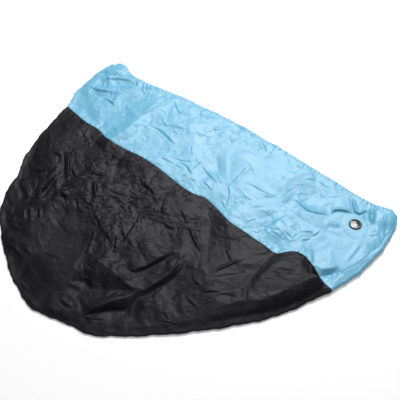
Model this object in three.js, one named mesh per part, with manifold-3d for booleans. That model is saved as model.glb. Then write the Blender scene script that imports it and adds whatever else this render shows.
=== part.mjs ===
// A motorcycle cover lying on its side on the floor, folded along its ridge seam into two layers.
// Millimetres, Z up. X runs along the hem from the front to the rear, Y from the ridge to the hem's
// open mouth. The origin is on the floor, under the middle of the outline's box.
import * as THREE from "three";
import { mergeVertices } from "three/addons/utils/BufferGeometryUtils.js";
import Module from "manifold-3d";

// Cloth and the gaps between sewn pieces
const CLOTH = 1.6;
const HALF_CLOTH = CLOTH / 2;
const SEAM_GAP = 0.4;
const SEAT_GAP = 0.3;

// Heights of the upper layer's middle surface above the floor
const ROLL_TOP = 15;
const LOFT = 25;
const LOWEST_TOP = 15;
const ROLL_REACH = 9;
const ROLL_MARGIN = 30;
const LOFT_REACH = 95;
const FOLD_FADE_REACH = 70;

// The ridge, from the front end of the hem round to its rear end, on the floor
const RIDGE = [
  { x: -890, y: 650 },
  { x: -908, y: 595 },
  { x: -915, y: 510 },
  { x: -906, y: 375 },
  { x: -861, y: 252 },
  { x: -840, y: 100 },
  { x: -790, y: -105 },
  { x: -722, y: -238 },
  { x: -690, y: -335 },
  { x: -615, y: -448 },
  { x: -480, y: -555 },
  { x: -330, y: -645 },
  { x: -190, y: -697 },
  { x: -105, y: -705 },
  { x: 15, y: -673 },
  { x: 140, y: -648 },
  { x: 255, y: -574 },
  { x: 430, y: -425 },
  { x: 590, y: -262 },
  { x: 715, y: -108 },
  { x: 800, y: 52 },
  { x: 841, y: 140 },
  { x: 884, y: 255 },
  { x: 912, y: 405 },
  { x: 915, y: 520 },
  { x: 906, y: 605 },
  { x: 886, y: 650 },
];
const RIDGE_ROW_OF_FRONT_SEAM = 4;
const RIDGE_ROW_OF_REAR_SEAM = 21;

// How far in from the edge the ridge seam lies on top: the lower layer rolls over the edge up to it
const ROLLED_BAND = [
  { along: 0, width: 14 },
  { along: 0.52, width: 14 },
  { along: 0.62, width: 30 },
  { along: 0.72, width: 52 },
  { along: 0.84, width: 46 },
  { along: 0.93, width: 22 },
  { along: 1, width: 14 },
];

// The hem of each layer, between its two ends on the ridge
const HEM_TOP = [
  { x: -858, y: 672 },
  { x: -824, y: 676 },
  { x: -788, y: 667 },
  { x: -722, y: 643 },
  { x: -622, y: 646 },
  { x: -505, y: 661 },
  { x: -386, y: 677 },
  { x: -160, y: 699 },
  { x: 30, y: 700 },
  { x: 205, y: 691 },
  { x: 448, y: 679 },
  { x: 675, y: 664 },
  { x: 752, y: 661 },
  { x: 836, y: 672 },
];
const HEM_UNDER = [
  { x: -740, y: 632 },
  { x: -386, y: 660 },
  { x: 0, y: 684 },
  { x: 430, y: 664 },
  { x: 730, y: 646 },
];

// The seam between the upper panel and the skirt on the top layer, between its two ends on the ridge
const SEAM_TOP = [
  { x: -700, y: 230 },
  { x: -605, y: 228 },
  { x: -495, y: 197 },
  { x: -400, y: 204 },
  { x: -258, y: 214 },
  { x: -110, y: 200 },
  { x: 30, y: 187 },
  { x: 108, y: 203 },
  { x: 195, y: 184 },
  { x: 280, y: 155 },
  { x: 380, y: 152 },
  { x: 480, y: 146 },
  { x: 550, y: 146 },
  { x: 600, y: 190 },
  { x: 650, y: 206 },
  { x: 725, y: 183 },
];

// Broad swells of the top layer: centre, radius and height
const SWELLS = [
  { x: -838, y: 636, radius: 95, height: 18 },
  { x: -600, y: 440, radius: 190, height: -6 },
  { x: -300, y: 470, radius: 200, height: 6 },
  { x: 250, y: 330, radius: 230, height: 5 },
  { x: 560, y: 320, radius: 160, height: 5 },
  { x: 600, y: 205, radius: 85, height: 9 },
  { x: 860, y: 620, radius: 70, height: 8 },
  { x: -420, y: -80, radius: 240, height: 6 },
  { x: -120, y: -180, radius: 210, height: 7 },
  { x: -350, y: -400, radius: 220, height: -5 },
  { x: 330, y: -260, radius: 190, height: 6 },
  { x: 60, y: 60, radius: 170, height: 5 },
];

// Folds of the top layer: a soft ridge (height over zero) or trough along a path, reach to each side
const FOLDS = [
  { path: [[45, -590], [165, -385], [222, -125]], reach: 62, height: 24 },
  { path: [[115, -600], [212, -440], [272, -150]], reach: 55, height: -15 },
  { path: [[-110, -345], [70, -368]], reach: 55, height: 15 },
  { path: [[-70, -425], [80, -432]], reach: 52, height: -14 },
  { path: [[95, -300], [165, -125]], reach: 46, height: -12 },
  { path: [[470, -290], [640, -78], [775, 165]], reach: 54, height: -12 },
  { path: [[380, -135], [458, 45]], reach: 50, height: -10 },
  { path: [[515, -80], [560, 125]], reach: 52, height: -10 },
  { path: [[175, -10], [300, -42]], reach: 48, height: -10 },
  { path: [[-580, -100], [-545, -245], [-520, -295]], reach: 50, height: -12 },
  { path: [[-690, -240], [-565, -315]], reach: 45, height: -10 },
  { path: [[-440, -535], [-340, -560]], reach: 45, height: -8 },
  { path: [[-300, -490], [-190, -445]], reach: 45, height: -9 },
  { path: [[-105, -400], [-180, -250]], reach: 50, height: 9 },
  { path: [[-200, 92], [-85, 86]], reach: 45, height: -9 },
  { path: [[-55, 75], [5, 0]], reach: 45, height: -9 },
  { path: [[-490, 215], [-478, 395], [-476, 540]], reach: 80, height: 12 },
  { path: [[-385, 415], [-200, 392]], reach: 45, height: -11 },
  { path: [[-400, 620], [-339, 573], [-300, 590]], reach: 42, height: -9 },
  { path: [[5, 520], [115, 375]], reach: 42, height: 12 },
  { path: [[55, 550], [160, 405]], reach: 40, height: -9 },
  { path: [[-30, 360], [68, 320]], reach: 42, height: -9 },
  { path: [[200, 390], [395, 416]], reach: 42, height: -9 },
  { path: [[408, 395], [440, 505]], reach: 45, height: 11 },
  { path: [[470, 440], [568, 430], [640, 505]], reach: 42, height: -11 },
  { path: [[640, 255], [700, 195]], reach: 45, height: -10 },
  { path: [[816, 290], [826, 400]], reach: 42, height: -9 },
  { path: [[765, 150], [810, 268]], reach: 45, height: -10 },
  { path: [[795, 655], [812, 600]], reach: 34, height: -10 },
  { path: [[842, 615], [872, 520]], reach: 36, height: -8 },
  { path: [[-800, 515], [-690, 590]], reach: 50, height: -14 },
  { path: [[-790, 434], [-695, 440]], reach: 45, height: -10 },
  { path: [[-700, 655], [-672, 575]], reach: 36, height: 10 },
  { path: [[-642, 660], [-622, 580]], reach: 34, height: -10 },
  { path: [[-590, 660], [-575, 590]], reach: 36, height: 9 },
];

// The lock eyelets and the sewn patches that hold them, one on each layer
const EYELET_TOP = { x: 752, y: 497 };
const EYELET_UNDER = { x: 747, y: 515 };
const EYELET_LEVEL = 26;
const EYELET_HOLE_RADIUS = 22;
const BARREL_RADIUS = 25;
const CLOTH_HOLE_RADIUS = 26;
const FLANGE_RADIUS = 30.5;
const FLANGE = 2;
const FLANGE_BEVEL = 0.9;
const UNDER_HOLE_RADIUS = 33;
const EYELET_SIDES = 24;
const PATCH_HALF_WIDTH = 68;
const PATCH_TOP = 66;
const PATCH_TIP = 80;
const PATCH_TURN = 0.56;
const FLAT_RADIUS = 95;
const FLAT_BLEND_RADIUS = 150;

// Mesh steps
const COLUMNS = 62;
const UPPER_ROWS = 20;
const SKIRT_ROWS = 12;
const UNDER_COLUMNS = 10;
const ROLL_STEPS = 4;
const RIDGE_DIVISIONS = 26 * 40;
const SEAM_CORNER_STEP = 25;
const UNDER_CORNER_STEP = 6;

const COLOURS = { upper: 0x2b2c2f, skirt: 0x86cdea, eyelet: 0x14181d };

// Curves on the floor
const ridge = new THREE.SplineCurve(RIDGE.map(({ x, y }) => new THREE.Vector2(x, y)));
ridge.arcLengthDivisions = RIDGE_DIVISIONS;
const ridgeLengths = ridge.getLengths();
const ridgeLength = ridge.getLength();
const ridgePath = ridge.getPoints(RIDGE_DIVISIONS / 8).map((point) => point.toArray());

function alongAtRow(row) {
  return ridgeLengths[(row / (RIDGE.length - 1)) * RIDGE_DIVISIONS] / ridgeLength;
}

const FRONT_SEAM = alongAtRow(RIDGE_ROW_OF_FRONT_SEAM);
const REAR_SEAM = alongAtRow(RIDGE_ROW_OF_REAR_SEAM);
const SEAM_STEP = SEAM_GAP / 2 / ridgeLength;

function inward(along) {
  const tangent = ridge.getTangentAt(along);
  return new THREE.Vector2(-tangent.y, tangent.x);
}

function insetPoint(along, inset) {
  return ridge.getPointAt(along).addScaledVector(inward(along), inset);
}

function bandWidth(along) {
  const next = Math.max(1, ROLLED_BAND.findIndex((row) => row.along >= along));
  const low = ROLLED_BAND[next - 1];
  const high = ROLLED_BAND[next];
  const share = (along - low.along) / (high.along - low.along);
  return THREE.MathUtils.lerp(low.width, high.width, THREE.MathUtils.smoothstep(share, 0, 1));
}

function curveThrough(start, rows, end, shiftY) {
  const inner = rows.map(({ x, y }) => new THREE.Vector2(x, y + shiftY));
  return new THREE.SplineCurve([start, ...inner, end]);
}

// Height of the top layer's middle surface
function distanceToSegment(x, y, [x1, y1], [x2, y2]) {
  const dx = x2 - x1;
  const dy = y2 - y1;
  const share = ((x - x1) * dx + (y - y1) * dy) / (dx * dx + dy * dy);
  const held = THREE.MathUtils.clamp(share, 0, 1);
  return Math.hypot(x - x1 - held * dx, y - y1 - held * dy);
}

function distanceToPath(x, y, path) {
  let least = Infinity;
  for (let i = 1; i < path.length; i += 1) {
    least = Math.min(least, distanceToSegment(x, y, path[i - 1], path[i]));
  }
  return least;
}

function softBump(distance, reach) {
  const share = Math.min(1, distance / reach);
  return (1 - share * share) ** 2;
}

function topHeight(x, y) {
  const fromRidge = distanceToPath(x, y, ridgePath);
  const rise = THREE.MathUtils.smoothstep(fromRidge, ROLL_REACH, ROLL_REACH + LOFT_REACH);
  const fade = THREE.MathUtils.smoothstep(fromRidge, ROLL_REACH, ROLL_REACH + FOLD_FADE_REACH);
  let relief = 0;
  for (const swell of SWELLS) {
    relief += swell.height * softBump(Math.hypot(x - swell.x, y - swell.y), swell.radius);
  }
  for (const fold of FOLDS) {
    relief += fold.height * softBump(distanceToPath(x, y, fold.path), fold.reach);
  }
  const loose = Math.max(LOWEST_TOP, ROLL_TOP + (LOFT - ROLL_TOP) * rise + relief * fade);
  const fromEyelet = Math.hypot(x - EYELET_TOP.x, y - EYELET_TOP.y);
  const held = 1 - THREE.MathUtils.smoothstep(fromEyelet, FLAT_RADIUS, FLAT_BLEND_RADIUS);
  return THREE.MathUtils.lerp(loose, EYELET_LEVEL, held);
}

// A point of a cloth's middle surface with the direction in which its outer face lies
function topPoint(plan) {
  const step = 2;
  const slopeX = (topHeight(plan.x + step, plan.y) - topHeight(plan.x - step, plan.y)) / (2 * step);
  const slopeY = (topHeight(plan.x, plan.y + step) - topHeight(plan.x, plan.y - step)) / (2 * step);
  return {
    at: new THREE.Vector3(plan.x, plan.y, topHeight(plan.x, plan.y)),
    outer: new THREE.Vector3(-slopeX, -slopeY, 1).normalize(),
  };
}

function floorPoint(plan) {
  return {
    at: new THREE.Vector3(plan.x, plan.y, HALF_CLOTH),
    outer: new THREE.Vector3(0, 0, -1),
  };
}

// The roll of the lower layer over the edge at one place along the ridge, from the floor to the ridge seam
function rolledEdge(along) {
  const normal = inward(along);
  const halfWidth = ROLL_REACH - HALF_CLOTH;
  const middle = (ROLL_TOP + HALF_CLOTH) / 2;
  const halfHeight = ROLL_TOP - middle;
  const points = [];
  for (let step = 0; step <= ROLL_STEPS; step += 1) {
    const angle = (step / ROLL_STEPS - 0.5) * Math.PI;
    const plan = insetPoint(along, ROLL_REACH - halfWidth * Math.cos(angle));
    const sideways = Math.cos(angle) / halfWidth;
    const upwards = Math.sin(angle) / halfHeight;
    points.push({
      at: new THREE.Vector3(plan.x, plan.y, middle + halfHeight * Math.sin(angle)),
      outer: new THREE.Vector3(-normal.x * sideways, -normal.y * sideways, upwards).normalize(),
    });
  }
  const seamInset = bandWidth(along) - SEAM_GAP / 2;
  points.push(topPoint(insetPoint(along, (ROLL_REACH + seamInset) / 2)));
  points.push(topPoint(insetPoint(along, seamInset)));
  return points;
}

function topEdge(along) {
  return insetPoint(along, bandWidth(along) + SEAM_GAP / 2);
}

// A closed sheet of cloth from a grid of points, one array for each column
function sheetGeometry(columns) {
  const rows = columns[0].length;
  const positions = [];
  for (const side of [HALF_CLOTH, -HALF_CLOTH]) {
    for (const column of columns) {
      for (const { at, outer } of column) {
        positions.push(...at.clone().addScaledVector(outer, side).toArray());
      }
    }
  }
  const inner = columns.length * rows;
  const index = (column, row) => column * rows + row;
  const triangles = [];
  const quad = (a, b, c, d) => triangles.push(a, b, c, a, c, d);
  for (let column = 0; column + 1 < columns.length; column += 1) {
    for (let row = 0; row + 1 < rows; row += 1) {
      const a = index(column, row);
      const b = index(column + 1, row);
      const c = index(column + 1, row + 1);
      const d = index(column, row + 1);
      quad(a, b, c, d);
      quad(inner + a, inner + d, inner + c, inner + b);
    }
  }
  const rim = [];
  for (let column = 0; column + 1 < columns.length; column += 1) rim.push(index(column, 0));
  for (let row = 0; row + 1 < rows; row += 1) rim.push(index(columns.length - 1, row));
  for (let column = columns.length - 1; column > 0; column -= 1) rim.push(index(column, rows - 1));
  for (let row = rows - 1; row > 0; row -= 1) rim.push(index(0, row));
  rim.forEach((from, i) => {
    const to = rim[(i + 1) % rim.length];
    quad(inner + from, inner + to, to, from);
  });
  const geometry = new THREE.BufferGeometry();
  geometry.setAttribute("position", new THREE.Float32BufferAttribute(positions, 3));
  geometry.setIndex(signedVolume(positions, triangles) < 0 ? triangles.reverse() : triangles);
  return geometry;
}

function signedVolume(positions, triangles) {
  const corner = (i) => new THREE.Vector3().fromArray(positions, 3 * triangles[i]);
  let sum = 0;
  for (let i = 0; i < triangles.length; i += 3) {
    sum += corner(i).dot(corner(i + 1).cross(corner(i + 2))) / 6;
  }
  return sum;
}

function steps(count) {
  return Array.from({ length: count + 1 }, (_, i) => i / count);
}

// Four-sided patch between two long curves and two end curves
function coonsPoint(low, high, front, rear, u, v) {
  const plan = low(u).multiplyScalar(1 - v).addScaledVector(high(u), v);
  plan.addScaledVector(front(v), 1 - u).addScaledVector(rear(v), u);
  plan.addScaledVector(low(0), -(1 - u) * (1 - v)).addScaledVector(low(1), -u * (1 - v));
  return plan.addScaledVector(high(0), -(1 - u) * v).addScaledVector(high(1), -u * v);
}

// The upper panel reaches from the seam to the crown of the ridge
const upperAlong = (share) =>
  THREE.MathUtils.lerp(FRONT_SEAM + SEAM_STEP, REAR_SEAM - SEAM_STEP, share);

// Both top panels have their columns at the same places along the seam
function seamShares(seam) {
  const corner = SEAM_CORNER_STEP / seam.getLength();
  return steps(COLUMNS).map((share) => THREE.MathUtils.lerp(corner, 1 - corner, share));
}

function upperTop() {
  const front = topEdge(upperAlong(0));
  const rear = topEdge(upperAlong(1));
  const seam = curveThrough(front, SEAM_TOP, rear, -SEAM_GAP / 2);
  return seamShares(seam).map((share, column) => {
    const seamPoint = seam.getPointAt(share);
    const edgePoint = topEdge(upperAlong(column / COLUMNS));
    return steps(UPPER_ROWS).map((down) => topPoint(seamPoint.clone().lerp(edgePoint, down)));
  });
}

// Each lower panel is a flat solid and the solids of its edges, which roll up from a flat margin to the ridge seam
const floorEdge = (along) => insetPoint(along, ROLL_REACH + ROLL_MARGIN + SEAM_GAP);

function edgeColumn(along) {
  return [floorPoint(insetPoint(along, ROLL_REACH + ROLL_MARGIN)), ...rolledEdge(along)];
}

function upperUnder() {
  const front = floorEdge(upperAlong(0));
  const rear = floorEdge(upperAlong(1));
  const corner = UNDER_CORNER_STEP / front.distanceTo(rear);
  return steps(COLUMNS).map((share) => {
    const seamPoint = front.clone().lerp(rear, THREE.MathUtils.lerp(corner, 1 - corner, share));
    return [floorPoint(seamPoint), floorPoint(floorEdge(upperAlong(share)))];
  });
}

function upperUnderEdge() {
  return steps(COLUMNS).map((share) => edgeColumn(upperAlong(share)));
}

// The skirt reaches from the hem to the seam, with its two ends on the ridge
const skirtFrontAlong = (v) => (FRONT_SEAM - SEAM_STEP) * v;
const skirtRearAlong = (v) => THREE.MathUtils.lerp(1, REAR_SEAM + SEAM_STEP, v);

function skirtTop() {
  const front = (v) => topEdge(skirtFrontAlong(v));
  const rear = (v) => topEdge(skirtRearAlong(v));
  const hem = curveThrough(front(0), HEM_TOP, rear(0), 0);
  const seam = curveThrough(front(1), SEAM_TOP, rear(1), SEAM_GAP / 2);
  return [0, ...seamShares(seam), 1].map((u) =>
    steps(SKIRT_ROWS).map((v) =>
      topPoint(coonsPoint((t) => hem.getPointAt(t), (t) => seam.getPointAt(t), front, rear, u, v)),
    ),
  );
}

function skirtUnder() {
  const front = (v) => floorEdge(skirtFrontAlong(v));
  const rear = (v) => floorEdge(skirtRearAlong(v));
  const hem = curveThrough(front(0), HEM_UNDER, rear(0), 0);
  const seam = new THREE.LineCurve(front(1), rear(1));
  return steps(UNDER_COLUMNS).map((u) =>
    steps(SKIRT_ROWS).map((v) =>
      floorPoint(coonsPoint((t) => hem.getPointAt(t), (t) => seam.getPointAt(t), front, rear, u, v)),
    ),
  );
}

function skirtUnderEdge(alongAt) {
  return steps(SKIRT_ROWS).map((v) => edgeColumn(alongAt(v)));
}

// A reinforcing patch, rounded above and narrowing to a soft tip below, with its hole at the origin
function patchGeometry() {
  const shape = new THREE.Shape();
  shape.moveTo(0, -PATCH_TIP);
  shape.bezierCurveTo(30, -PATCH_TIP, PATCH_HALF_WIDTH, -20, PATCH_HALF_WIDTH, 18);
  shape.bezierCurveTo(PATCH_HALF_WIDTH, 48, 45, PATCH_TOP, 0, PATCH_TOP);
  shape.bezierCurveTo(-45, PATCH_TOP, -PATCH_HALF_WIDTH, 48, -PATCH_HALF_WIDTH, 18);
  shape.bezierCurveTo(-PATCH_HALF_WIDTH, -20, -30, -PATCH_TIP, 0, -PATCH_TIP);
  shape.holes.push(new THREE.Path().absarc(0, 0, CLOTH_HOLE_RADIUS, 0, 2 * Math.PI, true));
  return new THREE.ExtrudeGeometry(shape, { depth: CLOTH, bevelEnabled: false, curveSegments: 8 });
}

// A two-flanged eyelet that clamps a stack of cloth, its lower flange's top face at height zero
function eyeletGeometry(stack, lowerFlange) {
  const upper = stack + 2 * SEAT_GAP;
  const top = upper + FLANGE;
  const section = [
    [EYELET_HOLE_RADIUS, -lowerFlange],
    [FLANGE_RADIUS, -lowerFlange],
    [FLANGE_RADIUS, 0],
    [BARREL_RADIUS, 0],
    [BARREL_RADIUS, upper],
    [FLANGE_RADIUS, upper],
    [FLANGE_RADIUS, top - FLANGE_BEVEL],
    [FLANGE_RADIUS - FLANGE_BEVEL, top],
    [EYELET_HOLE_RADIUS + FLANGE_BEVEL, top],
    [EYELET_HOLE_RADIUS, top - FLANGE_BEVEL],
    [EYELET_HOLE_RADIUS, -lowerFlange],
  ];
  const profile = section.map(([radius, height]) => new THREE.Vector2(radius, height));
  return new THREE.LatheGeometry(profile, EYELET_SIDES).rotateX(Math.PI / 2);
}

// Boolean cut of a round hole through a sheet
const wasm = await Module();
wasm.setup();

function solidOf(geometry) {
  const bare = geometry.clone();
  bare.deleteAttribute("normal");
  bare.deleteAttribute("uv");
  const merged = mergeVertices(bare);
  return new wasm.Manifold(
    new wasm.Mesh({
      numProp: 3,
      vertProperties: merged.attributes.position.array,
      triVerts: new Uint32Array(merged.index.array),
    }),
  );
}

function withRoundHole(geometry, centre, radius) {
  const drill = new THREE.CylinderGeometry(radius, radius, 4 * LOFT, EYELET_SIDES);
  drill.rotateX(Math.PI / 2).translate(centre.x, centre.y, 0);
  const mesh = solidOf(geometry).subtract(solidOf(drill)).getMesh();
  const cut = new THREE.BufferGeometry();
  cut.setAttribute("position", new THREE.BufferAttribute(mesh.vertProperties, 3));
  cut.setIndex(new THREE.BufferAttribute(mesh.triVerts, 1));
  return cut;
}

// The parts
const cover = new THREE.Group();
const laidOut = new THREE.Group();
cover.add(laidOut);

function addPart(name, geometry, colour, roughness, metalness = 0) {
  const material = new THREE.MeshStandardMaterial({ color: colour, roughness, metalness });
  const mesh = new THREE.Mesh(geometry, material);
  mesh.name = name;
  laidOut.add(mesh);
  return mesh;
}

const CLOTH_ROUGHNESS = 0.6;
const EYELET_ROUGHNESS = 0.35;

addPart("upper_under", sheetGeometry(upperUnder()), COLOURS.upper, CLOTH_ROUGHNESS);
addPart("upper_under_edge", sheetGeometry(upperUnderEdge()), COLOURS.upper, CLOTH_ROUGHNESS);
addPart(
  "skirt_under",
  withRoundHole(sheetGeometry(skirtUnder()), EYELET_UNDER, UNDER_HOLE_RADIUS),
  COLOURS.skirt,
  CLOTH_ROUGHNESS,
);
for (const [end, alongAt] of [["front", skirtFrontAlong], ["rear", skirtRearAlong]]) {
  const geometry = sheetGeometry(skirtUnderEdge(alongAt));
  addPart(`skirt_under_${end}_edge`, geometry, COLOURS.skirt, CLOTH_ROUGHNESS);
}
addPart("upper_top", sheetGeometry(upperTop()), COLOURS.upper, CLOTH_ROUGHNESS);
addPart(
  "skirt_top",
  withRoundHole(sheetGeometry(skirtTop()), EYELET_TOP, CLOTH_HOLE_RADIUS),
  COLOURS.skirt,
  CLOTH_ROUGHNESS,
);

const patchUnder = addPart("patch_under", patchGeometry(), COLOURS.skirt, CLOTH_ROUGHNESS);
patchUnder.position.set(EYELET_UNDER.x, EYELET_UNDER.y, CLOTH + SEAT_GAP);
patchUnder.rotation.z = PATCH_TURN;

const patchTop = addPart("patch_top", patchGeometry(), COLOURS.skirt, CLOTH_ROUGHNESS);
patchTop.position.set(EYELET_TOP.x, EYELET_TOP.y, EYELET_LEVEL + HALF_CLOTH + SEAT_GAP);
patchTop.rotation.z = PATCH_TURN;

const eyeletUnder = addPart("eyelet_under", eyeletGeometry(CLOTH, CLOTH), COLOURS.eyelet, EYELET_ROUGHNESS);
eyeletUnder.position.set(EYELET_UNDER.x, EYELET_UNDER.y, CLOTH);

const eyeletTop = addPart(
  "eyelet_top",
  eyeletGeometry(2 * CLOTH + SEAT_GAP, FLANGE),
  COLOURS.eyelet,
  EYELET_ROUGHNESS,
);
eyeletTop.position.set(EYELET_TOP.x, EYELET_TOP.y, EYELET_LEVEL - HALF_CLOTH - SEAT_GAP);

// The origin goes under the middle of the cover's box
const middle = new THREE.Box3().setFromObject(laidOut).getCenter(new THREE.Vector3());
laidOut.position.set(-middle.x, -middle.y, 0);

export default cover;
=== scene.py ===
"""Motorcycle cover lying on its side on a pale floor: its cloth, seams, eyelets, materials and light.

Tables are in millimetres in the floor plan: X along the hem from front to rear, Y from the ridge to the
open hem, Z up. Fold lines and creases are placed by the pixel of the 400 x 400 photograph at which they
show, and the camera turns those into plan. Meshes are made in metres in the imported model's frame.
"""

import math

import bpy
import numpy as np
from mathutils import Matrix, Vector
from mathutils.geometry import delaunay_2d_cdt


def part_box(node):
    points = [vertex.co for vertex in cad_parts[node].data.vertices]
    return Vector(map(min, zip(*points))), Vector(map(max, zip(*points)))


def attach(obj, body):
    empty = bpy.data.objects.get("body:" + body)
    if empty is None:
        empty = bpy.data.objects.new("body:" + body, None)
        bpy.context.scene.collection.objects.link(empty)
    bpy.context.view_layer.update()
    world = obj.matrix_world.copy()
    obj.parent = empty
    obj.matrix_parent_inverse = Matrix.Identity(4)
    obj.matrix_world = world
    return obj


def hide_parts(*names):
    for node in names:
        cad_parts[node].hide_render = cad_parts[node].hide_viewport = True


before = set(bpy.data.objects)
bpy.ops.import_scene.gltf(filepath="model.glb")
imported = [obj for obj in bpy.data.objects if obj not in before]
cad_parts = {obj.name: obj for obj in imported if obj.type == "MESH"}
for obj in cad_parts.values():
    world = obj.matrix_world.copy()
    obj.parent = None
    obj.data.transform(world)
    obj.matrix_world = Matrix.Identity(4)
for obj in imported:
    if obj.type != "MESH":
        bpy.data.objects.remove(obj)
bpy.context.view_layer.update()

MM = 0.001

# Camera, as the photograph was taken
PHOTO_SIZE = 400
VIEW_AZIMUTH = math.radians(37.29)
VIEW_ELEVATION = math.radians(53)
VIEW_DISTANCE = 3.1965
VIEW_TARGET = Vector((0.0834, 0.1937, 0))
LENS = 60
SENSOR = 36
UP = Vector((0, 0, 1))
VIEW_RIGHT = Vector((math.cos(VIEW_AZIMUTH), math.sin(VIEW_AZIMUTH), 0))
VIEW_AWAY = Vector((-math.sin(VIEW_AZIMUTH), math.cos(VIEW_AZIMUTH), 0))
VIEW_BACK = UP * math.sin(VIEW_ELEVATION) - VIEW_AWAY * math.cos(VIEW_ELEVATION)
CAMERA_PLACE = VIEW_TARGET + VIEW_BACK * VIEW_DISTANCE

# The ridge, from the front end of the hem round to its rear end
RIDGE = np.array([
    (-888, 650), (-902, 595), (-906, 510), (-899, 375), (-861, 252), (-840, 100), (-790, -105),
    (-722, -238), (-690, -335), (-615, -448), (-480, -555), (-330, -645), (-190, -697), (-105, -705),
    (15, -673), (140, -648), (255, -574), (430, -425), (590, -262), (715, -108), (800, 52), (841, 140),
    (884, 255), (912, 405), (915, 520), (908, 605), (884, 668),
], float)
RIDGE_ROW_OF_FRONT_SEAM = 4
RIDGE_ROW_OF_REAR_SEAM = 21

# Small waves of the rolled edge in plan: height, length, start, and how far from the ridge's ends they fade
EDGE_WAVES = [(1.8, 173, 0.4), (1.4, 84, 2.1), (0.8, 43, 4.4)]
EDGE_WAVE_FADE = 120

# How far in from the edge the ridge seam lies on top: share of the way along the ridge, width
BAND_ALONG = np.array([0, 0.52, 0.62, 0.72, 0.84, 0.88, 0.92, 0.95, 1])
BAND_WIDTH = np.array([14, 14, 30, 52, 46, 42, 27, 19, 14])

# Share of the way along the ridge from which its seam is sewn in relief
BAND_START = 0.72

# The hem of each layer, and the seam between upper and skirt on top, without their ends
HEM_TOP = np.array([
    (-858, 672), (-824, 676), (-788, 666), (-722, 638), (-622, 640), (-505, 654), (-386, 670), (-160, 691),
    (30, 692), (205, 683), (448, 671), (675, 657), (752, 657), (842, 676),
], float)
HEM_UNDER = np.array([(-740, 627), (-386, 654), (0, 677), (430, 657), (730, 641)], float)
SEAM_TOP = np.array([
    (-700, 230), (-605, 228), (-495, 197), (-400, 204), (-258, 214), (-110, 200), (30, 187), (108, 203),
    (195, 184), (280, 155), (380, 152), (480, 146), (550, 146), (600, 190), (650, 206), (725, 183),
], float)

# Heights of the cloth: it rises from the rim to its loft within a reach that changes along the ridge, evenly
# over the rolled band from its share of the ridge on, and its folds fade towards the rim
CLOTH_LIFT = 0.4
LOWEST_TOP = 4
ROLL_REACH = 9
LOFT = 25
LOFT_ALONG = (0, 0.74, 0.81, 0.86, 0.93, 1)
LOFT_REACH = (150, 150, 60, 40, 28, 24)
RIM_HEIGHT = (10, 10, 13, 22, 23, 18)
SLOPED_BAND = (0.58, 0.66)
SLOPE_MARGIN = 4
FOLD_FADE_REACH = 35

# Uneven height of the rim: its facets, as in FACETS below, their limit, and the height of one unit of them
RIM_FACETS = (71, 75, 0.8, 6)
RIM_FACET_LIMIT = 1.5
RIM_UNEVENNESS = 3

# Lock eyelets and the sewn patches that hold them
EYELET_TOP = np.array([752, 497], float)
EYELET_UNDER = np.array([747, 515], float)
FRAME_SHIFT = np.mean(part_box("eyelet_top"), axis=0)[:2] / MM - EYELET_TOP
EYELET_LEVEL = 26
EYELET_HOLE_RADIUS = 22
FLANGE_RADIUS = 30.5
CLOTH_HOLE_RADIUS = 26
PATCH_TURN = 0.56
FLAT_RADIUS = 36
FLAT_BLEND_RADIUS = 78

# Each eyelet: height of the cloth with its patch, and how far the flanges stand over and under that
TOP_RING = {"cloth": EYELET_LEVEL + 0.6, "rise": 4.3, "drop": 3.4}
UNDER_RING = {"cloth": 1.4, "rise": 4.3, "drop": 1.3}

# Right half of a patch's edge about its hole, before it is turned: two cubic curves, from the tip to the top
PATCH_HALF_EDGE = [
    [(0, -80), (30, -80), (68, -20), (68, 18)],
    [(68, 18), (68, 48), (45, 66), (0, 66)],
]

# Patch rows: share of the way from the hole to the edge, height over the cloth
PATCH_ROWS = [
    (0, 0.9), (0.15, 1.0), (0.3, 1.0), (0.45, 1.0), (0.6, 1.0), (0.7, 1.0), (0.78, 0.9), (0.84, 0.5),
    (0.88, 0.4), (0.92, 0.7), (0.97, 1.0), (0.99, 0.9), (1.0, 0.5), (1.0, 0.1),
]
PATCH_STITCH_SHARE = 0.86

# Broad swells: x, y, radius, height
SWELLS = [
    (-790, -60, 540, -5), (560, 30, 420, 8), (60, -480, 300, -4),
    (-838, 636, 95, 18), (-600, 440, 190, -6), (-300, 470, 200, 6), (250, 330, 230, 5), (560, 320, 160, 5),
    (600, 205, 85, 9), (860, 620, 70, 8), (-420, -80, 240, 6), (-120, -180, 210, 7), (-350, -400, 220, -5),
    (420, -200, 190, 8), (60, 60, 170, 5),
]

# Height of the cloth at which the pixels below are read
READ_LEVEL = 22

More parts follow.
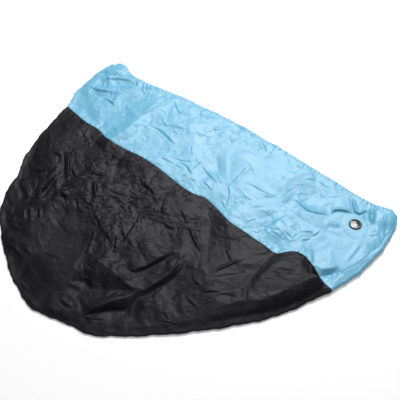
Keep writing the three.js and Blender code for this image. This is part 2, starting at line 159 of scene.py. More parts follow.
# Main fold lines, between which the cloth lies in flat facets: pixel x and y, height over the loft
FOLD_LINES = [
    # main fold of the black upper
    [(87, 252, 5), (91, 256, 12), (101, 262, 24), (113, 271, 29), (123, 280, 25), (132, 287, 16),
     (138, 290.7, 12)],
    [(66, 290, -4), (78, 295, -5), (92, 289, -5), (105, 290, -2), (122, 290, 3), (138, 290.7, 12)],
    [(82, 311.5, 14), (90, 308, 20), (100, 305, 21), (112, 301, 20), (125, 297, 16), (133, 293.5, 13),
     (138, 290.7, 12)],
    [(83, 315, 3), (94, 313, -4), (104, 311.5, -9), (113, 310.5, -13), (124, 311, -13), (132, 308, -9),
     (138, 298, -2)],
    [(80, 321, 4), (95, 320, 3), (108, 320, 2), (121, 320, 2), (134, 319, 2)],
    [(138, 290.7, 12), (144, 289.5, 13), (152, 285, 15), (160, 280, 16), (169, 273.5, 16),
     (176, 267.5, 15), (181, 260.5, 11), (184, 254, 6)],
    [(147, 296, -5), (155, 291, -6), (165, 285, -6), (175, 278, -5), (183, 270, -2), (188, 260, 2)],
    [(127, 269.5, 7), (134, 270, 13), (145, 266, 16), (160, 258, 15), (172, 251.5, 9), (178, 247.5, 3)],
    [(121, 261, 11), (130, 253, 18), (144, 246, 17), (160, 241, 10)],
    [(134, 274, 0), (145, 270.5, -1), (160, 262.5, -1), (172, 256, 2), (180, 253, 5)],
    [(143, 300, 6), (144, 308, 5), (144, 318, 3)],
    [(153, 299, 6), (154, 308, 6), (155, 318, 3)],
    [(75, 271, 10), (84, 268.5, 15), (91, 271.5, 15)],
    [(77, 281, -8), (86, 283.5, -12)],
    # facets of the black upper
    [(103, 151, 6), (98, 164, 6)],
    [(120, 159, -3), (117, 168, -5), (113, 178, -4)],
    [(140, 164, 7), (132, 175, 6)],
    [(112, 186, 6), (117, 197, 5)],
    [(137, 184, -1), (140, 194, -2)],
    [(144, 171, 7), (147, 180, 6)],
    [(172, 176, -2), (178, 188, -3)],
    [(159, 201, 7), (164, 212, 6)],
    [(186, 203, -1), (190, 215, -2)],
    [(208, 212, -5), (211, 224, -5)],
    [(114, 226, 10), (116, 243, 13)],
    [(166, 226, -4), (169, 240, -4)],
    [(34, 200, -5), (39, 180, -4)],
    [(55, 174, 6), (58, 195, 5)],
    [(65, 187, -3), (66, 176, -3)],
    [(88, 175, 5), (87, 190, 5)],
    [(53, 126, 8), (48, 145, 9)],
    [(75, 126, 2), (72, 148, 0)],
    [(203, 276, 7), (210, 288, 8), (214, 300, 8)],
    [(226, 282, 5), (230, 292, 5)],
    # slope down to the rear of the ridge
    [(201, 315, 3), (214, 309, 10), (229, 305, 14), (240, 301.5, 16), (262, 301, 16), (276, 295, 17),
     (300, 284, 19), (319, 276.5, 16)],
    [(214, 322, -4), (240, 317, -6), (265, 313, -7), (290, 306, -7), (310, 297, -5), (322, 289, -2)],
    [(241, 291, 2), (253, 274, 1), (267, 260, 2)],
    [(252, 294, 14), (265, 280, 16), (281, 262, 18)],
    [(300, 262, 18), (307, 273, 17)],
    # soft folds of the skirt's front end
    [(99, 76.5, 7), (110, 78, 10), (122, 78.5, 10), (135, 80.5, 6)],
    [(103, 85, -1), (118, 85.5, -3), (131, 85, -1)],
    [(92, 86, 8), (102, 89.5, 9), (113, 90.5, 7)],
    [(98, 96, -4), (106, 97, -5), (113, 97, -2)],
    [(116, 98, 6), (122, 93, 8), (130, 89.5, 7), (141, 88.5, 4)],
    # broad shaded facet of the blue skirt
    [(84, 107, -9), (97, 106, -5), (112, 107, -2), (126, 104, 2), (142, 99, 4), (152, 95, 4)],
    [(88, 116, -16), (99, 125, -14), (107, 133, -7)],
    [(157, 101, 7), (149, 109, 13), (139, 118.5, 18), (126, 130, 20), (111, 140, 17)],
    [(128, 141, 4), (142, 130, 3), (152, 119, 3), (166, 110, 3)],
    # bright flat part at the rear of the skirt, up to the ridge seam
    [(309, 226, -3), (311, 240, -3), (313, 254, -2)],
    [(331, 247, -1), (343, 238, 0), (356, 233, 1)],
    [(336, 281, -1), (350, 272.5, 0), (362.5, 262.5, 1), (375, 251, 1), (385, 239, 0)],
    # calm planes of the skirt
    [(176, 124, 3), (185, 140, 3), (190, 156, 2)],
    [(205, 138, 1), (210, 152, 0)],
    [(252, 166, 5), (258, 180, 4), (268, 192, 3)],
    [(282, 186, 7), (290, 178, 8)],
    [(238, 187, 6), (248, 198, 6), (256, 207, 5)],
    # pleat in the middle of the skirt
    [(230, 149, 3), (230.5, 165, 3), (230.5, 183, 2)],
    [(239, 155, 7), (249, 169, 11), (240, 177, 7)],
    [(226.5, 150, 3), (226, 166, 3), (227, 182, 2)],
    [(217, 155, -2), (217, 166, -6), (219, 177, -3)],
    # hollow beside the rear end of the seam
    [(315, 266, 3), (322, 269.5, 7), (330, 268.5, 6), (338, 267, 2)],
    [(320, 278, -14), (328, 276.5, -19), (334, 274.2, -15), (340, 272, -3)],
]

# The same along the rear of the ridge: rows of the ridge, heights
REAR_EDGE_ROWS = slice(21, 26)
REAR_EDGE_HEIGHTS = (-2, -1, 0, 0, 0)

# Creases of the blue skirt: height, reach on the gentle side, reach on the steep side, and the pixels of the
# crest, which has its steep side on the right
SKIRT_CREASES = [
    (6, 30, 12, (106, 81), (113, 76.5), (121, 71.5)),
    (5, 30, 12, (102, 79.5), (118, 79.5), (135, 81.5)),
    (5, 30, 12, (93, 87), (101, 91), (114, 91.5)),
    (2.4, 20, 6, (112, 91), (112, 98.5)),
    (5, 30, 12, (102, 97), (110, 100), (116, 106)),
    (3, 24, 8, (97, 104), (104, 101), (112, 102)),
    (3, 24, 8, (122, 104), (130, 98), (139, 95)),
    (3, 20, 7, (118, 75), (124, 78), (130, 77.5)),
    (1.3, 20, 3, (95, 98.5), (100, 99.5)),
    (1.3, 20, 3, (87, 91), (96, 97.5)),
    (1.8, 15, 5, (93, 102), (93, 109)),
    (5, 30, 11, (113, 98), (119, 92.5), (127, 88.5), (136, 88), (143, 88.5)),
    (2.4, 20, 6, (120, 70), (128, 73)),
    (3.2, 30, 8, (138, 117.5), (144, 116), (149, 111.5), (153, 107), (161, 105)),
    (1.8, 20, 5, (151, 113), (155, 110.5), (160, 110)),
    (1.8, 25, 5, (141, 124), (149, 130)),
    (4.2, 50, 11, (151, 125.5), (160, 130), (167, 136), (174, 143), (180, 145.5)),
    (2.4, 25, 6, (161, 119.5), (168, 129)),
    (1.8, 20, 5, (172, 130.5), (179, 136)),
    (3.2, 25, 8, (175, 102), (178, 110), (182, 114.5), (189, 114), (192, 110)),
    (2.8, 25, 7, (192, 145), (192.5, 157)),
    (1.3, 22, 4, (130, 145), (141, 144.5), (153, 145)),
    (1.3, 22, 5, (133, 147), (146, 149.5), (162, 149.5)),
    (2.4, 20, 6, (200, 110), (202, 116), (203, 122)),
    (2.4, 20, 6, (206, 121), (211, 119), (218, 116.5)),
    (1.8, 20, 5, (159, 154.5), (172, 154)),
    (2.4, 25, 6, (160, 157), (168, 161), (177, 164.5)),
    (2.4, 25, 6, (174, 156.5), (182, 161), (196, 161.5)),
    (4.2, 30, 11, (180, 163), (187, 166), (190, 170), (194, 176)),
    (2.4, 22, 6, (174, 165), (183, 168.5)),
    (2.4, 22, 6, (189, 171), (196, 166.5), (202, 160)),
    (4.2, 35, 11, (201.5, 164), (206, 170), (212, 177), (220, 185)),
    (2.8, 22, 7, (202, 181), (208, 186), (213, 192)),
    (2.4, 28, 6, (207, 130), (222, 129.5), (234, 127)),
    (1.8, 22, 5, (202, 134.5), (213, 139.5)),
    (2.4, 20, 6, (230.5, 136), (232, 141), (241, 140.5)),
    (2.8, 20, 7, (244, 139), (248, 147)),
    (2.4, 18, 6, (249, 132), (257, 139)),
    (3.2, 30, 8, (248.5, 168), (240, 177), (231, 186)),
    (3.2, 25, 8, (227, 184), (230, 192), (229.5, 200), (226, 208)),
    (2.4, 20, 6, (216, 171), (219, 180), (223, 186)),
    (2.4, 20, 6, (221, 199), (226, 210)),
    (3.2, 45, 6, (243, 182), (255, 188), (266, 193.5), (274, 197), (284, 199.5)),
    (2.4, 20, 6, (255, 194), (264, 196.5), (274, 199)),
    (2.4, 28, 6, (251, 208), (265, 207.5)),
    (1.8, 16, 5, (271, 208), (271.5, 217)),
    (1.8, 20, 5, (234, 226.5), (244, 226)),
    (1.8, 22, 5, (245, 222.5), (258, 219.5)),
    (2.8, 18, 7, (251, 230.5), (258, 232.5), (262, 227)),
    (2.8, 18, 7, (262, 225.5), (272, 228)),
    (2.8, 16, 7, (264, 228), (270, 237)),
    (3.7, 45, 9, (298, 190.5), (290, 194.5), (280, 204.5)),
    (1.8, 20, 5, (293, 185), (305, 185)),
    (1.8, 20, 5, (295, 193), (305, 193.5), (314, 194)),
    (3.2, 20, 8, (306, 177.5), (311, 179), (316, 180)),
    (2.4, 16, 6, (295, 165.5), (302, 169.5)),
    (2.8, 20, 7, (319, 179.5), (324, 185), (332, 187.5)),
    (8, 45, 6, (290, 198.5), (297, 201), (303, 206.5), (309, 211.5), (319, 214), (330, 215.5)),
    (11, 32, 7, (330, 215.5), (333.5, 211), (340, 210.5), (348, 212), (354, 215)),
    (1.8, 28, 6, (317, 196), (330, 197), (342, 196)),
    (1.8, 18, 5, (337, 200), (331, 210)),
    (1.8, 16, 5, (340, 201), (346, 209)),
    (2.4, 15, 6, (271, 231), (278, 236), (284, 241)),
    (2.8, 16, 7, (275, 227), (284, 236), (290, 244)),
    (2.8, 16, 7, (283, 230), (290, 237), (295, 242)),
    (3.2, 25, 8, (297, 232.5), (310, 232), (313.5, 235.5), (321, 229)),
    (2.8, 20, 7, (300, 241), (310, 239.5)),
    (4.2, 25, 11, (304, 244), (309, 250), (310, 256), (311, 265)),
    (3.2, 16, 8, (333, 267), (334, 279)),
    (2.8, 14, 7, (339, 269), (346, 275)),
    (2, 26, 14, (344, 264), (352, 254), (362, 242)),
    (1.3, 18, 3, (317, 243), (327, 257)),
    (5, 26, 24, (324, 223), (334, 224), (341, 228)),
    (11, 22, 8, (352.5, 196), (353.5, 205), (355, 211.5), (359, 214), (364, 211.5), (370, 210)),
    (13, 22, 24, (372, 207), (372.5, 214), (371.5, 226)),
    (3.2, 22, 8, (368, 236.5), (374, 235.5), (380, 235)),
    (6, 22, 9, (386, 213), (382.5, 226), (383.5, 240)),
    (4.5, 10, 4, (388, 214), (391, 218)),
    (4.5, 10, 4, (388, 220), (391, 225)),
    (3.8, 9, 4, (393, 217), (396, 222)),
    (8, 9, 5, (137.5, 81), (137.5, 87)),
    (10, 9, 6, (143.5, 85), (143, 91)),
    (9, 9, 5, (147, 86), (147.5, 92)),
    (9, 9, 6, (151, 86), (150, 92)),
]

# Creases of the black upper, in the same columns
UPPER_CREASES = [
    (3.8, 22, 6, (31, 153), (39, 154.5)),
    (8, 25, 12, (45, 156), (55, 153), (61, 156), (61, 162), (58, 168)),
    (6, 35, 10, (32, 167), (40, 170), (50, 168.5), (58, 165)),
    (13, 14, 24, (68.5, 149), (69, 166), (68, 184)),
    (6, 22, 10, (72, 164), (72.5, 155), (75.5, 151.5), (79, 156)),
    (5.2, 20, 9, (71.5, 165), (74, 172), (79, 179)),
    (3.8, 18, 6, (89, 127), (84, 135), (80, 138)),
    (6, 18, 10, (85, 144.5), (88, 140), (90, 148)),
    (3.8, 22, 6, (85, 170), (94, 170.5)),
    (9, 28, 15, (88, 172.5), (99, 175), (110, 176.5)),
    (4.5, 30, 8, (91, 166), (100, 160), (106, 156), (113, 152.5)),
    (9, 25, 60, (114, 167), (121, 163), (127, 161), (138, 166)),
    (15, 32, 22, (59, 189), (70, 184), (79, 180), (88, 175.5)),
    (3.8, 22, 7, (118, 185), (124, 179), (130, 175)),
    (16, 25, 24, (21, 176.5), (24.5, 183), (27.5, 190), (29, 199)),
    (15, 30, 24, (36.5, 200), (40.5, 191), (47.5, 182.5), (53.5, 176), (56.5, 169)),
    (10, 22, 34, (25, 205), (33, 202), (40, 200.5), (47, 199)),
    (9, 18, 16, (31, 206), (31.5, 223)),
    (8, 16, 12, (40.5, 207), (40, 219)),
    (3.8, 20, 6, (15, 213), (25, 213.5)),
    (4.5, 22, 8, (9, 222), (13, 226), (20, 228), (26, 226)),
    (10, 20, 18, (61, 193), (70, 198)),
    (3, 20, 6, (61, 208), (72, 206)),
    (3.8, 18, 6, (77, 198), (79.5, 210)),
    (12, 24, 18, (95.5, 182), (96, 199)),
    (4.5, 16, 8, (95, 197), (104, 197)),
    (5.2, 18, 9, (108, 196.5), (115, 198), (122, 199.5)),
    (5.2, 18, 9, (110, 191.5), (119, 194), (129, 195.5)),
    (5.2, 18, 9, (127, 196), (138, 198), (145, 198), (150, 200.5)),
    (3.8, 16, 6, (119, 207), (129, 206)),
    (3.8, 16, 6, (126, 205), (136, 201.5)),
    (4.5, 18, 8, (101, 220), (111, 217)),
    (3, 20, 6, (79, 215), (86, 210), (92, 207.5)),
    (4.5, 14, 8, (141.5, 214), (138.5, 219), (138.5, 225)),
    (6, 26, 11, (136.5, 222), (135, 228), (132, 233), (128, 239), (121, 244)),
    (5.2, 22, 9, (118, 235), (117, 244), (115, 257)),
    (5.2, 22, 9, (96, 242), (101, 236), (107, 234.5), (113, 236)),
    (4.5, 22, 8, (96, 228), (93, 238), (90, 246), (85, 260)),
    (4.5, 18, 8, (141.5, 178), (143, 185), (146, 189)),
    (8, 26, 13, (143, 179), (147, 186), (152, 191), (158, 197)),
    (4.5, 24, 8, (159, 194.5), (170, 195), (181, 196)),
    (5, 26, 10, (165, 195), (165.5, 203), (163.5, 209), (164, 214), (169, 216.5)),
    (7, 24, 13, (165, 223), (170, 227), (176, 228)),
    (6.8, 26, 12, (177, 225.5), (185, 228), (190.5, 229.5), (193, 236), (200, 249), (209, 255)),
    (5.2, 24, 9, (9, 242), (16, 250), (23, 258)),
    (3, 20, 6, (24, 247), (31, 255)),
    (3.8, 26, 6, (40, 252), (48, 254), (56, 257), (66, 259)),
    (3.8, 18, 6, (21.5, 280), (22.5, 285), (29, 288.5)),
    (5, 20, 12, (61, 297), (66, 303), (74, 306)),
    (6, 20, 20, (66, 283), (75, 284), (84, 288)),
    (4, 14, 10, (79, 279), (85, 277.5), (91, 281)),
    (4.5, 12, 8, (162, 277), (171, 271.5), (176, 268), (179, 261), (184, 256)),
    (4.5, 22, 8, (182, 293), (190, 287), (195.5, 283.5), (204, 290)),
    (5.2, 20, 9, (201, 294), (218, 293)),
    (4.5, 18, 8, (186, 297), (192, 303), (199, 310)),
    (5, 34, 8, (208, 277), (217, 272), (230, 266), (238, 262.5), (247, 259)),
    (2.4, 18, 6, (210, 280), (222, 277), (240, 274)),
    (4.5, 18, 8, (226.5, 250), (229, 257), (232, 263)),
    (4, 60, 30, (280, 262), (268, 272), (259, 281), (251, 292)),
    (4.5, 20, 8, (218, 296), (228, 295.5), (238, 299)),
    (3.8, 12, 6, (243, 288), (243, 303)),
    (3, 12, 6, (248.5, 291), (248, 304)),
    (3.8, 12, 6, (279, 304), (285, 312)),
    (4.5, 14, 8, (287, 309), (294, 306), (300, 300)),
    (5.2, 18, 9, (311, 264), (311.5, 278)),
    (4.5, 20, 8, (80, 313), (88, 317), (97, 317.5), (107, 317)),
    (3, 16, 5, (95, 329.5), (112, 331), (131, 332)),
    (3, 20, 6, (158, 320), (168, 322), (180, 324)),
    (3, 16, 6, (164, 311), (169, 321)),
    (3.8, 18, 7, (130, 312), (135, 303)),
]

# Crumpled facets: seed, spacing, height, rounding of their creases in map steps
FACETS = [(23, 61, 2.0, 0.7), (37, 29, 1.1, 0.6), (53, 15, 0.45, 0.5)]

# Broad facets between the main fold lines: seed, spacing, height, clear distance from those lines, rounding
BROAD_FACETS = (11, 125, 4.8, 62, 1.2)

# How far facet corners stray from an even lattice, as a share of the spacing
LATTICE_JITTER = 0.4

# Short small creases strewn over the crumpled parts: x, y, radius, number, direction and its spread in
# degrees, height
SMALL_CREASES_SEED = 19
SMALL_CREASES = [
    (-163, -17, 230, 130, 30, 30, 5.0), (-513, -146, 230, 45, 88, 40, 4.5), (80, 58, 170, 30, 20, 45, 3.5),
    (367, -286, 170, 24, 30, 50, 3.0), (-27, -494, 110, 18, 60, 50, 3.5), (615, -5, 150, 10, 60, 40, 2.5),
    (-347, -444, 230, 14, 30, 50, 2.5), (86, -182, 130, 24, 60, 45, 3.0), (-112, -230, 150, 45, 60, 50, 4.5),
    (-740, 490, 130, 26, 60, 50, 3.0), (-243, 500, 200, 30, 0, 45, 2.2), (440, 480, 200, 26, 50, 50, 2.2),
    (506, 241, 110, 26, 50, 45, 3.0), (207, 265, 130, 18, 0, 45, 2.2), (-560, 560, 60, 10, 127, 30, 3.0),
]

# How far the small creases stray, as a share of the radius, and their bend, as a share of their half length
SMALL_CREASE_SPREAD = 0.5
SMALL_CREASE_BEND = 0.2

# Least and greatest half length, reach on each side and share of the height of a small crease
SMALL_CREASE_HALF_LENGTH = (7, 26)
SMALL_CREASE_GENTLE = (9, 20)
SMALL_CREASE_STEEP = (3, 5)
SMALL_CREASE_HEIGHT = (0.4, 1)

# Where the cloth is calmer or more crumpled than elsewhere: x, y, radius, change
CRUMPLE_CHANGES = [
    (-200, -530, 280, -0.55), (-295, -370, 200, -0.3), (235, 440, 300, -0.45), (600, 15, 190, -0.3),
    (-240, 420, 300, -0.45), (690, 350, 230, -0.6), (-640, 470, 300, -0.45), (450, 560, 260, -0.3),
    (-340, -15, 330, 0.7), (40, -230, 260, 0.4), (470, 230, 120, 0.6), (450, -205, 150, -0.3),
    (60, 420, 260, -0.3), (500, 40, 220, -0.3), (850, 300, 170, -0.6),
]

# Sewn lines: seed, reach and depth of the groove, reach and height of the gathers, length of a gather
SEAM_SEWING = (5, 7, 1.6, 26, 1.3, 27)
RIDGE_SEWING = (6, 6, 0.5, 20, 0.6, 24)
HEM_SEWING = (7, 5, 1.0, 38, 1.8, 19)
HEM_END_GATHERS = 1.6
HEM_END_REACH = 190

# Gathers: least and greatest step between crest and hollow, as a share of a gather's length, and their height
GATHER_STEPS = (0.3, 0.7)
GATHER_HEIGHTS = (0.3, 1)
GATHER_FALL = 1.5
SPARE_GATHERS = 4

# Cloth turned in past the hem's edge on each layer and past the seams: outwards, upwards
HEM_TURN = [(0.8, -0.7), (1.0, -1.8), (0.2, -2.8), (-6, -3.1), (-17, -2.9)]
HEM_UNDER_TURN = [(0.7, 0.8), (0.1, 1.6), (-15, 1.7)]
SEAM_ALLOWANCE = [(0.6, -0.6), (4, -1.4)]
HEM_STITCH_INSET = 13
SEAM_STITCH_INSET = 4

# Relief map of the top layer
MAP_STEP = 2.0
MAP_HALF_LENGTH, MAP_HALF_WIDTH = 936, 726
MAP_X = np.arange(-MAP_HALF_LENGTH, MAP_HALF_LENGTH + MAP_STEP, MAP_STEP)
MAP_Y = np.arange(-MAP_HALF_WIDTH, MAP_HALF_WIDTH + MAP_STEP, MAP_STEP)
MAP_ORIGIN = np.array([MAP_X[0], MAP_Y[0]])
MAP_SIZE = np.array([len(MAP_X), len(MAP_Y)])
GRID_X, GRID_Y = np.meshgrid(MAP_X, MAP_Y)

# Least size that counts, so that nothing is divided by zero and triangles keep their edges
TINY = 1e-6


# Places read from the photograph
def plan_of(x, y, height):
    """Place in plan of what the photograph shows at a pixel, at a height."""
    eye = CAMERA_PLACE / MM - Vector((*FRAME_SHIFT, 0))
    forward = -VIEW_BACK
    ray = forward * (PHOTO_SIZE * LENS / SENSOR)
    ray += VIEW_RIGHT * (x - PHOTO_SIZE / 2) + VIEW_RIGHT.cross(forward) * (PHOTO_SIZE / 2 - y)
    place = eye + ray * ((height - eye.z) / ray.z)
    return place.x, place.y


def fold_lines():
    """The main fold lines in plan: x, y, height."""
    rear_edge = [(*place, height) for place, height in zip(RIDGE[REAR_EDGE_ROWS], REAR_EDGE_HEIGHTS)]
    seen = [[(*plan_of(x, y, READ_LEVEL + height), height) for x, y, height in line] for line in FOLD_LINES]
    return [*seen, rear_edge]


# Curves: steps between two given points, how many of them a path on the map skips, steps of the ridge seam
CURVE_STEPS = 40
PATH_STRIDE = 8
RIDGE_SEAM_STEPS = 150


def bezier(p0, p1, p2, p3, steps):
    """Points on a cubic curve, without its end."""
    t = np.linspace(0, 1, steps, endpoint=False)[:, None]
    p0, p1, p2, p3 = np.array([p0, p1, p2, p3], float)
    return p0 * (1 - t) ** 3 + 3 * p1 * t * (1 - t) ** 2 + 3 * p2 * t ** 2 * (1 - t) + p3 * t ** 3


def spline(points, steps=CURVE_STEPS):
    """Dense points on a smooth curve through the given points."""
    padded = np.vstack([points[:1], points, points[-1:]])
    runs = (padded[2:] - padded[:-2]) / 6
    pieces = [
        bezier(start, start + leaving, end - arriving, end, steps)
        for start, end, leaving, arriving in zip(points, points[1:], runs, runs[1:])]
    return np.vstack([*pieces, points[-1:]])


def lengths(dense):
    steps = np.hypot(*np.diff(dense, axis=0).T)
    return np.concatenate([[0], np.cumsum(steps)])


def between(places, knots, rows):
    """Points given at knots along a curve, straight between them."""
    return np.stack([np.interp(places, knots, column) for column in rows.T], -1)


def at_share(dense, share):
    """Points at shares of a dense curve's length."""
    along = lengths(dense)
    return between(np.asarray(share) * along[-1], along, dense)


def left_of(dense):
    """Unit vectors to the left of a dense curve, at each of its points."""
    tangent = np.gradient(dense, lengths(dense), axis=0)
    tangent /= np.hypot(*tangent.T)[:, None]
    return np.stack([-tangent[:, 1], tangent[:, 0]], -1)


def smooth(value, low, high):
    share = np.clip((value - low) / (high - low), 0, 1)
    return share * share * (3 - 2 * share)


def smooth_steps(value, knots, heights):
    """Heights given at knots, with smooth steps between them."""
    row = np.clip(np.searchsorted(knots, value), 1, len(knots) - 1)
    share = smooth(value, knots[row - 1], knots[row])
    return heights[row - 1] * (1 - share) + heights[row] * share


def waved(dense, waves):
    """A dense curve moved sideways by small waves, which fade at its two ends."""
    along = lengths(dense)
    sideways = sum(height * np.sin(2 * math.pi * along / length + start) for height, length, start in waves)
    fade = smooth(np.minimum(along, along[-1] - along), 0, EDGE_WAVE_FADE)
    return dense + left_of(dense) * (sideways * fade)[:, None]


ridge = waved(spline(RIDGE), EDGE_WAVES)
ridge_lengths = lengths(ridge)
ridge_length = ridge_lengths[-1]
ridge_inward = left_of(ridge)
FRONT_SEAM = ridge_lengths[RIDGE_ROW_OF_FRONT_SEAM * CURVE_STEPS] / ridge_length
REAR_SEAM = ridge_lengths[RIDGE_ROW_OF_REAR_SEAM * CURVE_STEPS] / ridge_length


def inset_point(along, inset):
    """Points in from the ridge, at shares of its length."""
    inward = between(np.asarray(along) * ridge_length, ridge_lengths, ridge_inward)
    return at_share(ridge, along) + inward * np.asarray(inset)[..., None]


def band_width(along):
    return smooth_steps(along, BAND_ALONG, BAND_WIDTH)


def top_edge(along, further_in=0):
    return inset_point(along, band_width(along) + further_in)


seam = spline(np.vstack([top_edge(FRONT_SEAM), SEAM_TOP, top_edge(REAR_SEAM)]))
hem = spline(np.vstack([top_edge(0), HEM_TOP, top_edge(1)]))
ridge_seam = top_edge(np.linspace(BAND_START, 1, RIDGE_SEAM_STEPS))


# Relief
def soft_bump(distance, reach):
    share = np.minimum(1, np.abs(distance) / reach)
    return (1 - share * share) ** 2


def sharp_bump(distance, reach, power):
    return (1 - np.minimum(1, np.abs(distance) / reach)) ** power


def grid_distance(x, y):
    return np.hypot(GRID_X - x, GRID_Y - y)


def swells(rows):
    """Soft round swells over the whole map: x, y, radius and height of each."""
    return sum(height * soft_bump(grid_distance(x, y), radius) for x, y, radius, height in rows)


def window_of(points, reach):
    """The part of the map within a reach of some points."""
    low = np.floor((points.min(0) - reach - MAP_ORIGIN) / MAP_STEP).astype(int)
    high = np.ceil((points.max(0) + reach - MAP_ORIGIN) / MAP_STEP).astype(int) + 1
    (left, near), (right, far) = np.clip([low, high], 0, MAP_SIZE)
    return np.s_[near:far, left:right]


def path_frame(path, window):
    """Distance from a path, over zero on its left, and the length along it, in a window of the map."""
    x, y = GRID_X[window], GRID_Y[window]
    nearest = np.full(x.shape, np.inf)
    side = np.ones(x.shape)
    along = np.zeros(x.shape)
    start = 0
    for (x1, y1), (x2, y2) in zip(path[:-1], path[1:]):
        dx, dy = x2 - x1, y2 - y1
        size = max(math.hypot(dx, dy), TINY)
        share = np.clip(((x - x1) * dx + (y - y1) * dy) / size ** 2, 0, 1)
        distance = np.hypot(x - x1 - share * dx, y - y1 - share * dy)
        nearer = distance < nearest
        nearest = np.where(nearer, distance, nearest)
        along = np.where(nearer, start + share * size, along)
        side = np.where(nearer, np.where(dx * (y - y1) >= dy * (x - x1), 1, -1), side)
        start += size
    return nearest * side, along


def blurred(field, sigma):
    """Gaussian blur of a map, sigma in map steps."""
    radius = int(3 * sigma) + 1
    taps = np.exp(-0.5 * (np.arange(-radius, radius + 1) / sigma) ** 2)
    taps /= taps.sum()
    for axis in (0, 1):
        pad = [(radius, radius) if k == axis else (0, 0) for k in (0, 1)]
        wide = np.pad(field, pad, mode="edge")
        size = field.shape[axis]
        field = sum(tap * np.take(wide, np.arange(k, k + size), axis) for k, tap in enumerate(taps))
    return field


def fill_triangle(field, corners, values):
    """Writes the plane through three corners into a map, inside their triangle."""
    window = window_of(corners, 0)
    x, y = GRID_X[window], GRID_Y[window]
    (x1, y1), (x2, y2), (x3, y3) = corners
    area = (x2 - x1) * (y3 - y1) - (x3 - x1) * (y2 - y1)
    if abs(area) < TINY:
        return
    b = ((x - x1) * (y3 - y1) - (x3 - x1) * (y - y1)) / area
    c = ((x2 - x1) * (y - y1) - (x - x1) * (y2 - y1)) / area
    inside = (b >= -TINY) & (c >= -TINY) & (b + c <= 1 + TINY)
    plane = values[0] + b * (values[1] - values[0]) + c * (values[2] - values[0])
    field[window][inside] = plane[inside]


def lattice(draw, spacing):
    """Jittered points over the whole map, in rows."""
    xs = np.arange(MAP_X[0] - spacing, MAP_X[-1] + 2 * spacing, spacing)
    ys = np.arange(MAP_Y[0] - spacing, MAP_Y[-1] + 2 * spacing, spacing)
    points = np.stack(np.meshgrid(xs, ys), -1)
    points[1::2, :, 0] += spacing / 2
    return points + draw.uniform(-LATTICE_JITTER, LATTICE_JITTER, points.shape) * spacing


def facets(seed, spacing, height, rounding):
    """Flat facets with straight creases between them, on a jittered lattice."""
    draw = np.random.default_rng(seed)
    points = lattice(draw, spacing)
    values = draw.normal(0, height, points.shape[:2])
    turned = draw.random(points.shape[:2]) < 0.5
    field = np.zeros_like(GRID_X)
    for i in range(points.shape[0] - 1):
        for j in range(points.shape[1] - 1):
            ring = [(i, j), (i, j + 1), (i + 1, j + 1), (i + 1, j)]
            if turned[i, j]:
                ring = ring[1:] + ring[:1]
            for trio in ((0, 1, 2), (0, 2, 3)):
                picks = [ring[k] for k in trio]
                fill_triangle(field, np.array([points[p] for p in picks]), [values[p] for p in picks])
    return blurred(field, rounding)


MERGE_DISTANCE = 1e-3


def broad_facets():
    """Flat facets between the main fold lines, and on a jittered lattice away from them."""
    seed, spacing, height, clear, rounding = BROAD_FACETS
    draw = np.random.default_rng(seed)
    spots = lattice(draw, spacing).reshape(-1, 2)
    heights = draw.normal(0, height, len(spots))
    lines = fold_lines()
    placed = np.array([point for line in lines for point in line], float)
    far = np.linalg.norm(spots[:, None] - placed[:, :2], axis=-1).min(1) > clear
    points = np.vstack([placed[:, :2], spots[far]])
    heights = np.concatenate([placed[:, 2], heights[far]])
    starts = set(np.cumsum([len(line) for line in lines]))
    edges = [(k - 1, k) for k in range(1, len(placed)) if k not in starts]
    flat = [Vector(point) for point in points]
    corners, _, faces, sources, _, _ = delaunay_2d_cdt(flat, edges, [], 0, MERGE_DISTANCE)
    levels = np.array([np.mean(heights[list(source)]) if source else 0.0 for source in sources])
    field = np.zeros_like(GRID_X)
    for face in faces:
        trio = list(face)
        fill_triangle(field, np.array([corners[k] for k in trio]), levels[trio])
    return blurred(field, rounding)


CREASE_STEPS = 5
GENTLE_POWER, STEEP_POWER = 2.2, 1.3
CREASE_TAPER = 0.34
CREASE_ROUNDING = 0.5

# Valley beside a crease: height as a share of the crest's, place and reach as shares of the steep reach
VALLEY_SHARE, VALLEY_PLACE, VALLEY_REACH = 0.35, 1.1, 0.9


def add_crease(relief, path, height, gentle, steep):
    """A crest that falls gently on its left and steeply on its right, into a shallow valley."""
    curve = spline(np.array(path, float), CREASE_STEPS)
    window = window_of(curve, max(gentle, 2 * steep))
    offset, along = path_frame(curve, window)
    share = along / lengths(curve)[-1]
    ends = smooth(np.minimum(share, 1 - share), 0, CREASE_TAPER)
    on_left = sharp_bump(offset, gentle, GENTLE_POWER)
    valley = soft_bump(offset + VALLEY_PLACE * steep, VALLEY_REACH * steep)
    on_right = sharp_bump(offset, steep, STEEP_POWER) - VALLEY_SHARE * valley
    relief[window] += height * ends * np.where(offset > 0, on_left, on_right)


def add_small_creases(relief):
    draw = np.random.default_rng(SMALL_CREASES_SEED)
    for x, y, radius, number, direction, spread, height in SMALL_CREASES:
        for _ in range(number):
            middle = np.array([x, y]) + draw.normal(0, SMALL_CREASE_SPREAD, 2) * radius
            turn = math.radians(draw.normal(direction, spread)) + math.pi * draw.integers(2)
            run = np.array([math.cos(turn), math.sin(turn)]) * draw.uniform(*SMALL_CREASE_HALF_LENGTH)
            bend = np.array([-run[1], run[0]]) * draw.normal(0, SMALL_CREASE_BEND)
            path = [middle - run, middle + bend, middle + run]
            gentle, steep = draw.uniform(*SMALL_CREASE_GENTLE), draw.uniform(*SMALL_CREASE_STEEP)
            add_crease(relief, path, height * draw.uniform(*SMALL_CREASE_HEIGHT), gentle, steep)


